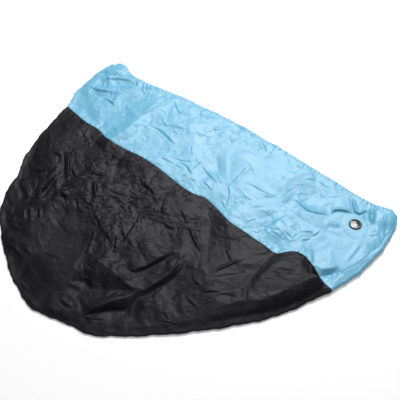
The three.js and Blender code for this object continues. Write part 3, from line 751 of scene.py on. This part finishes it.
def gathers(along, wave, seed):
    """Uneven waves along a sewn edge, from -1 to 1."""
    draw = np.random.default_rng(seed)
    least, greatest = GATHER_STEPS
    steps = draw.uniform(least, greatest, int(along.max() / (least * wave)) + SPARE_GATHERS) * wave
    knots = np.concatenate([[0], np.cumsum(steps)])
    values = draw.uniform(*GATHER_HEIGHTS, len(knots)) * np.where(np.arange(len(knots)) % 2, -1, 1)
    return smooth_steps(along, knots, values)


def add_sewing(relief, path, sewing, end_gathers=1.0, end_reach=1.0):
    """The groove of a sewn line and the gathers beside it, stronger near the line's ends if asked."""
    seed, groove_reach, depth, reach, height, wave = sewing
    size = lengths(path)[-1]
    window = window_of(path, reach)
    offset, along = path_frame(path, window)
    ends = 1 + (end_gathers - 1) * sharp_bump(np.minimum(along, size - along), end_reach, 1)
    waves = gathers(along, wave, seed) * height * ends * sharp_bump(offset, reach, GATHER_FALL)
    relief[window] += waves - depth * soft_bump(offset, groove_reach)


def relief_map():
    """Height of the top layer over the whole map."""
    edge = ridge[::PATH_STRIDE]
    offset, along = path_frame(edge, np.s_[:])
    from_ridge, along_ridge = np.abs(offset), along / lengths(edge)[-1]
    rise = smooth(from_ridge, ROLL_REACH, ROLL_REACH + np.interp(along_ridge, LOFT_ALONG, LOFT_REACH))
    sloped = smooth(along_ridge, *SLOPED_BAND)
    band = np.interp(along_ridge, BAND_ALONG, BAND_WIDTH)
    rise += sloped * (np.clip(from_ridge / (band + SLOPE_MARGIN), 0, 1) - rise)
    fade = smooth(from_ridge, 0, FOLD_FADE_REACH)
    relief = swells(SWELLS)
    for height, gentle, steep, *pixels in SKIRT_CREASES + UPPER_CREASES:
        add_crease(relief, [plan_of(x, y, READ_LEVEL) for x, y in pixels], height, gentle, steep)
    add_small_creases(relief)
    relief = blurred(relief, CREASE_ROUNDING) + broad_facets()
    crumple = 1 + swells(CRUMPLE_CHANGES)
    for row in FACETS:
        relief += facets(*row) * crumple
    sewn = np.zeros_like(GRID_X)
    add_sewing(sewn, seam[::PATH_STRIDE], SEAM_SEWING)
    add_sewing(sewn, ridge_seam, RIDGE_SEWING)
    add_sewing(sewn, hem[::PATH_STRIDE], HEM_SEWING, HEM_END_GATHERS, HEM_END_REACH)
    uneven = RIM_UNEVENNESS * np.clip(facets(*RIM_FACETS), -RIM_FACET_LIMIT, RIM_FACET_LIMIT)
    rim = np.interp(along_ridge, LOFT_ALONG, RIM_HEIGHT) + uneven
    loose = np.maximum(LOWEST_TOP, rim + (LOFT - rim) * rise + relief * fade + sewn)
    held = 1 - smooth(grid_distance(*EYELET_TOP), FLAT_RADIUS, FLAT_BLEND_RADIUS)
    return loose * (1 - held) + EYELET_LEVEL * held


TOP_MAP = relief_map()


def sampled(field, points):
    """A map's values at plan points, between its steps."""
    place = np.clip((points - MAP_ORIGIN) / MAP_STEP, 0, MAP_SIZE - 1 - TINY)
    i, j = np.moveaxis(place.astype(int), -1, 0)
    u, v = np.moveaxis(place, -1, 0) - (i, j)
    low = field[j, i] * (1 - u) + field[j, i + 1] * u
    high = field[j + 1, i] * (1 - u) + field[j + 1, i + 1] * u
    return low * (1 - v) + high * v


def on_top(plan, lift=0.0):
    """Points of the top layer over plan points."""
    return np.concatenate([plan, (sampled(TOP_MAP, plan) + lift)[..., None]], -1)


def on_floor(plan, lift=0.0):
    return np.concatenate([plan, np.full((*plan.shape[:-1], 1), CLOTH_LIFT + lift)], -1)


# Meshes
def linked(name, data):
    """A new object in the scene, from a mesh, a light or a camera."""
    obj = bpy.data.objects.new(name, data)
    bpy.context.scene.collection.objects.link(obj)
    return obj


def new_object(name, vertices, faces, material):
    placed = np.array(vertices, float)
    placed[:, :2] += FRAME_SHIFT
    mesh = bpy.data.meshes.new(name)
    mesh.from_pydata((placed * MM).tolist(), [], faces)
    mesh.validate()
    mesh.shade_smooth()
    mesh.materials.append(material)
    return linked(name, mesh)


def grid_faces(columns, rows, closed=False):
    index = np.arange(columns * rows).reshape(columns, rows)
    if closed:
        index = np.concatenate([index, index[:1]])
    return np.stack([index[:-1, :-1], index[1:, :-1], index[1:, 1:], index[:-1, 1:]], -1).reshape(-1, 4)


def grid_object(name, points, material, hole=None, closed=False):
    """A sheet from points in columns and rows, with a round hole if asked: its centre and radius."""
    flat = points.reshape(-1, 3)
    quads = grid_faces(*points.shape[:2], closed)
    if hole is not None:
        centre, radius = hole
        quads = quads[np.hypot(*(flat[quads][..., :2].mean(1) - centre).T) > radius]
    return new_object(name, flat, quads.tolist(), material)


def extended(points, axis, end, profile):
    """Adds rows past an edge of a sheet: each row a distance outwards and a height."""
    rows = np.moveaxis(points, axis, 0)
    if end == "first":
        rows = rows[::-1]
    away = rows[-1] - rows[-2]
    away[:, 2] = 0
    away /= np.maximum(np.linalg.norm(away, axis=1), TINY)[:, None]
    added = np.stack([rows[-1] + away * out + np.array([0, 0, up]) for out, up in profile])
    rows = np.concatenate([rows, added])
    if end == "first":
        rows = rows[::-1]
    return np.moveaxis(rows, 0, axis)


UPPER_COLUMNS, UPPER_ROWS = 470, 206
SKIRT_COLUMNS, SKIRT_ROWS = 590, 156
UNDER_FLOOR_ROWS, SKIRT_UNDER_COLUMNS, ARC_STEPS, BAND_STEPS = 8, 40, 10, 12

# Last row of the rolled band before the ridge seam, as a share of its width
LAST_BAND_ROW = 0.97

# Shares of the way along the ridge and along the seam, without its tips, at the columns of the upper panels
SEAM_TIP = 0.004
UPPER_ALONG = np.linspace(FRONT_SEAM, REAR_SEAM, UPPER_COLUMNS)
SEAM_ALONG = np.linspace(SEAM_TIP, 1 - SEAM_TIP, UPPER_COLUMNS)


def ruled(start, end, shares):
    """Plan points on straight lines between two curves, at shares of the way."""
    shares = shares[None, :, None]
    return start[:, None] * (1 - shares) + end[:, None] * shares


def upper_top_points():
    rows = np.linspace(0, 1, UPPER_ROWS)
    points = on_top(ruled(at_share(seam, SEAM_ALONG), top_edge(UPPER_ALONG), rows))
    points = extended(points, 1, "first", SEAM_ALLOWANCE)
    return extended(points, 1, "last", SEAM_ALLOWANCE)


def coons(low, high, front, rear, u, v):
    """Plan points between two long curves and two end curves."""
    u, v = u[:, None, None], v[None, :, None]
    plan = low[:, None] * (1 - v) + high[:, None] * v + front[None] * (1 - u) + rear[None] * u
    plan = plan - low[0] * (1 - u) * (1 - v) - low[-1] * u * (1 - v)
    return plan - high[0] * (1 - u) * v - high[-1] * u * v


def skirt_ends():
    """Shares of the way from the hem to the seam, and along the ridge at the skirt's front and rear end."""
    v = np.linspace(0, 1, SKIRT_ROWS)
    return v, FRONT_SEAM * v, 1 + (REAR_SEAM - 1) * v


def skirt_top_points():
    u = np.linspace(0, 1, SKIRT_COLUMNS)
    v, front_along, rear_along = skirt_ends()
    plan = coons(at_share(hem, u), at_share(seam, u), top_edge(front_along), top_edge(rear_along), u, v)
    points = on_top(plan)
    points = extended(points, 1, "last", SEAM_ALLOWANCE)
    points = extended(points, 1, "first", HEM_TURN)
    points = extended(points, 0, "first", SEAM_ALLOWANCE)
    return extended(points, 0, "last", SEAM_ALLOWANCE)


def rolled_edge(along):
    """The lower layer's roll over the edge, from the floor to the ridge seam: columns by rows."""
    half_width = ROLL_REACH - CLOTH_LIFT
    top = sampled(TOP_MAP, inset_point(along, ROLL_REACH))
    middle = (top + CLOTH_LIFT) / 2
    rows = []
    for angle in (np.linspace(0, 1, ARC_STEPS + 1) - 0.5) * math.pi:
        plan = inset_point(along, ROLL_REACH - half_width * math.cos(angle))
        height = middle + (top - middle) * math.sin(angle)
        rows.append(np.concatenate([plan, height[:, None]], -1))
    for share in (*np.linspace(0, LAST_BAND_ROW, BAND_STEPS)[1:], 1):
        rows.append(on_top(inset_point(along, ROLL_REACH + (band_width(along) - ROLL_REACH) * share)))
    return extended(np.stack(rows, 1), 1, "last", SEAM_ALLOWANCE)


def upper_under_points():
    front, rear = inset_point(FRONT_SEAM, ROLL_REACH), inset_point(REAR_SEAM, ROLL_REACH)
    seam_points = front + (rear - front) * SEAM_ALONG[:, None]
    rows = np.linspace(0, 1, UNDER_FLOOR_ROWS, endpoint=False)
    floor = on_floor(ruled(seam_points, inset_point(UPPER_ALONG, ROLL_REACH), rows))
    return np.concatenate([floor, rolled_edge(UPPER_ALONG)], 1)


def skirt_under_points():
    v, front_along, rear_along = skirt_ends()
    front, rear = inset_point(front_along, ROLL_REACH), inset_point(rear_along, ROLL_REACH)
    low = spline(np.vstack([front[0], HEM_UNDER, rear[0]]))
    u = np.linspace(0, 1, SKIRT_UNDER_COLUMNS)
    high = front[-1] + (rear[-1] - front[-1]) * u[:, None]
    floor = on_floor(coons(at_share(low, u), high, front, rear, u, v))[1:-1]
    front_roll = rolled_edge(front_along).transpose(1, 0, 2)[::-1]
    rear_roll = rolled_edge(rear_along).transpose(1, 0, 2)
    points = np.concatenate([front_roll, floor, rear_roll], 0)
    return extended(points, 1, "first", HEM_UNDER_TURN)


STITCH_SINK = 0.4
STITCH_PATH_STEPS = 200


def stitch_row(name, path, material, pitch=6.5, stitch=4.2, radius=0.45, rise=0.5):
    """Short raised threads along a path on the top layer, their ends sunk in the cloth."""
    size = lengths(path)[-1]
    starts = np.arange(pitch, size - 2 * pitch, pitch)
    middle = on_top(at_share(path, (starts[:, None] + np.array([0, 0.5, 1]) * stitch) / size))
    middle[..., 2] += np.array([-STITCH_SINK, rise, -STITCH_SINK])
    run = middle[:, 2] - middle[:, 0]
    run /= np.linalg.norm(run, axis=1)[:, None]
    side = np.stack([-run[:, 1], run[:, 0], np.zeros(len(run))], -1)[:, None] * radius
    up = np.array([0, 0, radius])
    threads = np.stack([middle + side, middle + up, middle - side, middle - up], 1)
    sides, rings = threads.shape[1:3]
    first = np.arange(len(threads))[:, None, None] * sides * rings
    faces = (first + grid_faces(sides, rings, closed=True)).reshape(-1, 4)
    return new_object(name, threads.reshape(-1, 3), faces.tolist(), material)


def lathe(name, profile, centre, material, sides=72):
    """A ring turned round an upright axis from a closed profile of radius and height."""
    angle = np.linspace(0, 2 * math.pi, sides, endpoint=False)[:, None]
    loop = np.array([*profile, profile[0]], float)
    points = np.stack([
        centre[0] + loop[:, 0] * np.cos(angle), centre[1] + loop[:, 0] * np.sin(angle),
        np.broadcast_to(loop[:, 1], (sides, len(loop)))], -1)
    return grid_object(name, points, material, closed=True)


def patch_outline(steps=30):
    """The patch's edge round its hole: rounded above, narrowing to a soft tip below."""
    mirrored = [[(-x, y) for x, y in reversed(curve)] for curve in reversed(PATCH_HALF_EDGE)]
    edge = np.vstack([bezier(*curve, steps) for curve in PATCH_HALF_EDGE + mirrored])
    across, along = math.cos(PATCH_TURN), math.sin(PATCH_TURN)
    return edge @ np.array([[across, along], [-along, across]])


def patch_plan(centre, share):
    edge = patch_outline()
    start = edge / np.hypot(*edge.T)[:, None] * CLOTH_HOLE_RADIUS
    return centre + start + (edge - start) * share


def patch_object(name, centre, layer, material):
    rows = [layer(patch_plan(centre, share), lift) for share, lift in PATCH_ROWS]
    return grid_object(name, np.stack(rows, 1), material, closed=True)


def eyelet_profile(cloth, rise, drop):
    """A ring's section: a rounded flange over the cloth and a flat one under it."""
    hole, rim, neck = EYELET_HOLE_RADIUS, FLANGE_RADIUS, CLOTH_HOLE_RADIUS
    # Radius, share of the rise or of the drop
    over = [(hole, 0.45), (hole + 0.3, 0.75), (hole + 1.4, 0.95), (hole + 3.2, 1.0), (rim - 3, 0.9),
            (rim - 1, 0.68), (rim, 0.4), (rim - 0.3, 0.26), (neck, 0.2)]
    under = [(neck, 0.15), (rim - 0.3, 0.25), (rim, 0.5), (rim - 0.6, 0.85), (rim - 2, 1.0),
             (hole + 1.5, 1.0), (hole + 0.3, 0.8), (hole, 0.4)]
    return [(r, cloth + rise * h) for r, h in over] + [(r, cloth - drop * h) for r, h in under]


# Materials
def set_inputs(node, **inputs):
    """Sets a node's inputs to values, or links them to the outputs that are given."""
    for name, value in inputs.items():
        socket = node.inputs[name.replace("_", " ")]
        if isinstance(value, bpy.types.NodeSocket):
            node.id_data.links.new(value, socket)
        else:
            socket.default_value = value


def add_node(tree, kind, **inputs):
    node = tree.nodes.new(kind)
    set_inputs(node, **inputs)
    return node


def new_material(name):
    material = bpy.data.materials.new(name)
    material.use_nodes = True
    tree = material.node_tree
    return material, tree, tree.nodes["Principled BSDF"]


def scaled(colour, factor):
    return tuple(min(1, c * factor) for c in colour) + (1,)


# Look of the cloth: depths in metres, scales per metre
GLOSS_SPREAD = 0.06
SHEEN = {"Sheen_Weight": 0.04, "Sheen_Roughness": 0.4}
GLOSS_TINT = (0.92, 0.93, 1.0, 1)
TONE_PATCHES = {"Scale": 9, "Detail": 5, "Roughness": 0.6}
WEAVE_TURN = 0.12
WEAVE = {"Scale": 300, "Distortion": 0.3}
WEAVE_BUMP = {"Strength": 0.15, "Distance": 0.0001}
DENTS = {"Scale": 55, "Detail": 5, "Roughness": 0.62}
DENT_DEPTH = 0.0016
CRINKLES = {"Scale": 13, "Detail": 3, "Roughness": 0.7, "Lacunarity": 2.2}
CRINKLE_DEPTH = 0.006


def cloth_material(name, colour, roughness, specular, tone, crinkling):
    """Coated plain weave: fine threads, small dents, crinkles and a slightly uneven tone and gloss."""
    material, tree, shader = new_material(name)
    place = add_node(tree, "ShaderNodeTexCoord").outputs["Object"]

    patches = add_node(tree, "ShaderNodeTexNoise", Vector=place, **TONE_PATCHES).outputs["Fac"]
    colours = add_node(tree, "ShaderNodeMix")
    colours.data_type = "RGBA"
    set_inputs(colours, A=scaled(colour, 1 - tone), B=scaled(colour, 1 + tone), Factor=patches)
    least, greatest = roughness - GLOSS_SPREAD, roughness + GLOSS_SPREAD
    gloss = add_node(tree, "ShaderNodeMapRange", Value=patches, To_Min=least, To_Max=greatest)

    turned = add_node(tree, "ShaderNodeMapping", Vector=place, Rotation=(0, 0, WEAVE_TURN))
    threads = add_node(tree, "ShaderNodeMath")
    threads.operation = "MAXIMUM"
    for direction, socket in zip("XY", threads.inputs):
        wave = add_node(tree, "ShaderNodeTexWave", Vector=turned.outputs["Vector"], **WEAVE)
        wave.bands_direction = direction
        tree.links.new(wave.outputs["Fac"], socket)
    dents = add_node(tree, "ShaderNodeTexNoise", Vector=place, **DENTS)
    crinkles = add_node(tree, "ShaderNodeTexVoronoi")
    crinkles.feature = "DISTANCE_TO_EDGE"
    set_inputs(crinkles, Vector=place, **CRINKLES)

    bumps = add_node(tree, "ShaderNodeBump", Height=threads.outputs["Value"], **WEAVE_BUMP)
    for height, depth in ((dents.outputs["Fac"], DENT_DEPTH), (crinkles.outputs["Distance"], CRINKLE_DEPTH)):
        size = {"Strength": crinkling, "Distance": depth}
        bumps = add_node(tree, "ShaderNodeBump", Height=height, Normal=bumps.outputs["Normal"], **size)
    set_inputs(
        shader, Base_Color=colours.outputs["Result"], Roughness=gloss.outputs["Result"],
        Normal=bumps.outputs["Normal"], Specular_IOR_Level=specular, Specular_Tint=GLOSS_TINT, **SHEEN)
    return material


GRAIN = {"Scale": 900, "Detail": 3}
GRAIN_BUMP = {"Strength": 0.2, "Distance": 0.0002}
EYELET_ROUGHNESS = {"To_Min": 0.22, "To_Max": 0.36}


def plastic_material(name, colour, roughness):
    """Slightly uneven plastic, its roughness between two values."""
    material, tree, shader = new_material(name)
    place = add_node(tree, "ShaderNodeTexCoord").outputs["Object"]
    grain = add_node(tree, "ShaderNodeTexNoise", Vector=place, **GRAIN).outputs["Fac"]
    gloss = add_node(tree, "ShaderNodeMapRange", Value=grain, **roughness)
    bump = add_node(tree, "ShaderNodeBump", Height=grain, **GRAIN_BUMP)
    set_inputs(
        shader, Base_Color=(*colour, 1), Roughness=gloss.outputs["Result"], Normal=bump.outputs["Normal"])
    return material


UPPER_COLOUR = (0.0045, 0.0041, 0.0066)
SKIRT_COLOUR = (0.120, 0.417, 0.604)
PATCH_COLOUR = (0.124, 0.425, 0.612)
EYELET_COLOUR = (0.008, 0.012, 0.018)
UPPER_LOOK = {"roughness": 0.47, "specular": 0.19, "tone": 0.15, "crinkling": 1.0}
SKIRT_LOOK = {"roughness": 0.5, "specular": 1.0, "tone": 0.05, "crinkling": 0.28}
upper_cloth = cloth_material("upper_cloth", UPPER_COLOUR, **UPPER_LOOK)
skirt_cloth = cloth_material("skirt_cloth", SKIRT_COLOUR, **SKIRT_LOOK)
patch_cloth = cloth_material("patch_cloth", PATCH_COLOUR, **SKIRT_LOOK)
eyelet_finish = plastic_material("eyelet_finish", EYELET_COLOUR, EYELET_ROUGHNESS)

# Pieces
upper_top = grid_object("upper_top_cloth", upper_top_points(), upper_cloth)
upper_under = grid_object("upper_under_cloth", upper_under_points(), upper_cloth)
skirt_top = grid_object("skirt_top_cloth", skirt_top_points(), skirt_cloth, (EYELET_TOP, CLOTH_HOLE_RADIUS))
skirt_under = grid_object(
    "skirt_under_cloth", skirt_under_points(), skirt_cloth, (EYELET_UNDER, CLOTH_HOLE_RADIUS))
patch_top = patch_object("patch_top_cloth", EYELET_TOP, on_top, patch_cloth)
patch_under = patch_object("patch_under_cloth", EYELET_UNDER, on_floor, patch_cloth)
eyelet_top = lathe("eyelet_top_ring", eyelet_profile(**TOP_RING), EYELET_TOP, eyelet_finish)
eyelet_under = lathe("eyelet_under_ring", eyelet_profile(**UNDER_RING), EYELET_UNDER, eyelet_finish)

seam_stitches = stitch_row("seam_stitches", seam - left_of(seam) * SEAM_STITCH_INSET, upper_cloth)
hem_stitches = stitch_row("hem_stitches", hem - left_of(hem) * HEM_STITCH_INSET, skirt_cloth)
ridge_path = top_edge(np.linspace(BAND_START, REAR_SEAM, STITCH_PATH_STEPS), SEAM_STITCH_INSET)
ridge_stitches = stitch_row("ridge_stitches", ridge_path, upper_cloth, radius=0.3, rise=0.1)
rear_path = top_edge(np.linspace(REAR_SEAM, 1, STITCH_PATH_STEPS), SEAM_STITCH_INSET)
rear_stitches = stitch_row("rear_stitches", rear_path, skirt_cloth)
patch_path = patch_plan(EYELET_TOP, PATCH_STITCH_SHARE)
patch_stitches = stitch_row("patch_stitches", np.vstack([patch_path, patch_path[:1]]), patch_cloth)

for piece, slot, *nodes in (
    (upper_top, "upper_cloth", "upper_top"),
    (upper_under, "upper_cloth", "upper_under", "upper_under_edge"),
    (skirt_top, "skirt_cloth", "skirt_top"),
    (skirt_under, "skirt_cloth", "skirt_under", "skirt_under_front_edge", "skirt_under_rear_edge"),
    (patch_top, "patch_cloth", "patch_top"),
    (patch_under, "patch_cloth", "patch_under"),
    (eyelet_top, "eyelet", "eyelet_top"),
    (eyelet_under, "eyelet", "eyelet_under"),
    (seam_stitches, "upper_cloth"),
    (ridge_stitches, "upper_cloth"),
    (rear_stitches, "skirt_cloth"),
    (hem_stitches, "skirt_cloth"),
    (patch_stitches, "patch_cloth"),
):
    if nodes:
        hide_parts(*nodes)
    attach(piece, "root")


# Floor, light and camera, in metres
FLOOR_HALF_SIDE = 30
FLOOR_FINISH = {"Base_Color": (1.0, 1.0, 1.0, 1), "Roughness": 0.9, "Specular_IOR_Level": 0.1}

# Studio lights as seen from the camera: name, right, away, up, size, power
LIGHTS = [
    ("key", 1.55, 4.7, 5.4, 2.0, 420), ("left", -1.6, 4.7, 5.4, 2.0, 60), ("top", 0.4, -0.4, 4.8, 3.0, 70),
    ("fill", -1.0, -3.2, 4.4, 2.0, 20),
]
WORLD_LIGHT = {"Color": (1, 1, 1, 1), "Strength": 0.13}

# Narrow beam into the eyelets, so that the floor shows through them: distance, angle in degrees, softness of
# its edge, size of the lamp, power
EYELET_BEAM = (2.0, 1.0, 0.2, 0.005, 100)


def make_floor():
    material, _, shader = new_material("floor_finish")
    set_inputs(shader, **FLOOR_FINISH)
    mesh = bpy.data.meshes.new("floor")
    side = FLOOR_HALF_SIDE
    corners = [(-side, -side, 0), (side, -side, 0), (side, side, 0), (-side, side, 0)]
    mesh.from_pydata(corners, [], [(0, 1, 2, 3)])
    mesh.materials.append(material)
    floor = linked("floor", mesh)


def aim(obj, place, target):
    obj.location = place
    obj.rotation_euler = (target - place).to_track_quat("-Z", "Y").to_euler()


def add_camera():
    data = bpy.data.cameras.new("camera")
    data.lens = LENS
    data.sensor_width = SENSOR
    camera = linked("camera", data)
    aim(camera, CAMERA_PLACE, VIEW_TARGET)
    bpy.context.scene.camera = camera


def add_light(name, kind, power, place, target):
    light = bpy.data.lights.new(name, kind)
    light.energy = power
    aim(linked(name, light), place, target)
    return light


def add_eyelet_beam():
    distance, angle, softness, size, power = EYELET_BEAM
    target = Vector((*(EYELET_TOP + FRAME_SHIFT), EYELET_LEVEL)) * MM
    beam = add_light("eyelet_beam", "SPOT", power, target + VIEW_BACK * distance, target)
    beam.spot_size = math.radians(angle)
    beam.spot_blend = softness
    beam.shadow_soft_size = size


def light_scene():
    for name, right, away, up, size, power in LIGHTS:
        place = VIEW_RIGHT * right + VIEW_AWAY * away + UP * up
        add_light(name, "AREA", power, place, Vector((0, 0, 0))).size = size
    world = bpy.data.worlds.new("studio")
    world.use_nodes = True
    set_inputs(world.node_tree.nodes["Background"], **WORLD_LIGHT)
    bpy.context.scene.world = world
    bpy.context.scene.view_settings.view_transform = "Standard"


make_floor()
light_scene()
add_eyelet_beam()
add_camera()
